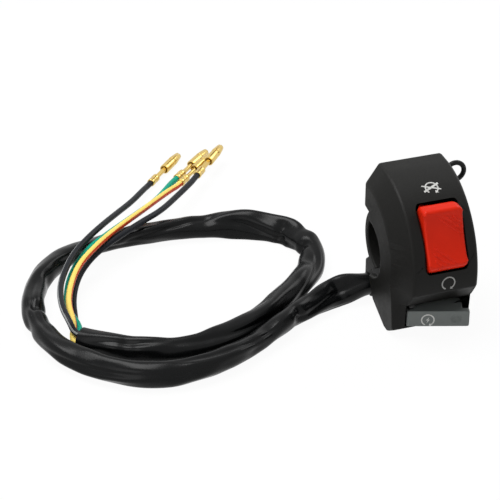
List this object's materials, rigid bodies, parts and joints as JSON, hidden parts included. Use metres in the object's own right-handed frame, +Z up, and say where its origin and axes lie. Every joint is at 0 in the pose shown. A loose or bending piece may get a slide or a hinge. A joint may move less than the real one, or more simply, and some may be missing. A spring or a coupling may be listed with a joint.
{
  "type": "motorcycle handlebar kill switch",
  "caption": "Handlebar kill switch with a red rocker, a grey starter lever, a split bar clamp and a sleeved lead with bullet terminals.",
  "frame": {"origin": "middle of the handlebar clamp bore, on the bar's axis", "axes": "+X along the bar towards the throttle side, -Y towards the rider's face of the switch, +Z up as it stands on its foot"},
  "size_m": [0.1683, 0.1613, 0.057],
  "materials": {
    "housing": "fine moulded texture",
    "inner_plastic": "plain moulded",
    "steel": "zinc plated",
    "brass": "turned",
    "guide": "coated wire",
    "rocker_red": "satin",
    "white_plastic": "moulded",
    "copper": "phosphor bronze strip",
    "base_board": "laminate",
    "lever_grey": "satin moulded",
    "rubber": "moulded",
    "lead_pvc": "insulation",
    "sleeve": "wrinkled soft sleeve",
    "wire_black_white": "black with a white stripe",
    "wire_green": "green",
    "wire_yellow_red": "yellow with a red stripe",
    "wire_black": "black",
    "terminal_brass": "pressed brass"
  },
  "bodies": {
    "housing": {"front_housing": "housing", "rear_clamp": "housing", "bar_saddle": "inner_plastic", "clamp_screws": "steel", "thread_inserts": "brass", "cable_guide_loop": "guide", "rocker_pin": "steel", "contact_base": "base_board", "kill_fixed_contacts": "brass", "contact_fulcrum": "brass", "base_screws": "steel", "lever_pin": "steel", "lever_spring": "steel", "start_contact_block": "base_board", "start_fixed_contacts": "brass", "cable_grommet": "rubber", "inner_leads": "lead_pvc", "harness_sleeve": "sleeve", "wire_black_white": "wire_black_white", "wire_green": "wire_green", "wire_yellow_red": "wire_yellow_red", "wire_black": "wire_black", "terminal_black_white": "terminal_brass", "terminal_green": "terminal_brass", "terminal_yellow_red": "terminal_brass", "terminal_black": "terminal_brass"},
    "rocker": {"kill_rocker": "rocker_red", "detent_plunger": "white_plastic", "detent_spring": "steel"},
    "seesaw": {"kill_contact": "copper"},
    "lever": {"start_lever": "lever_grey", "start_contact_bar": "copper"}
  },
  "joints": [
    {"name": "rocker_pivot", "type": "hinge", "parent": "housing", "child": "rocker", "pos_m": [0.0009, -0.02384, 0.01525], "axis": [1, 0, 0], "range_deg": [-20, 0]},
    {"name": "seesaw_pivot", "type": "hinge", "parent": "housing", "child": "seesaw", "pos_m": [0.0009, -0.01685, 0.01078], "axis": [1, 0, 0], "range_deg": [0, 12]},
    {"name": "lever_hinge", "type": "hinge", "parent": "housing", "child": "lever", "pos_m": [-0.0092, -0.0235, -0.0161], "axis": [0, 0, 1], "range_deg": [0, 8], "stiffness_Nm_per_rad": 0.05, "springref_deg": -22.92}
  ],
  "couplings": [
    {"joint": "seesaw_pivot", "follows": "rocker_pivot", "ratio": -0.6}
  ]
}
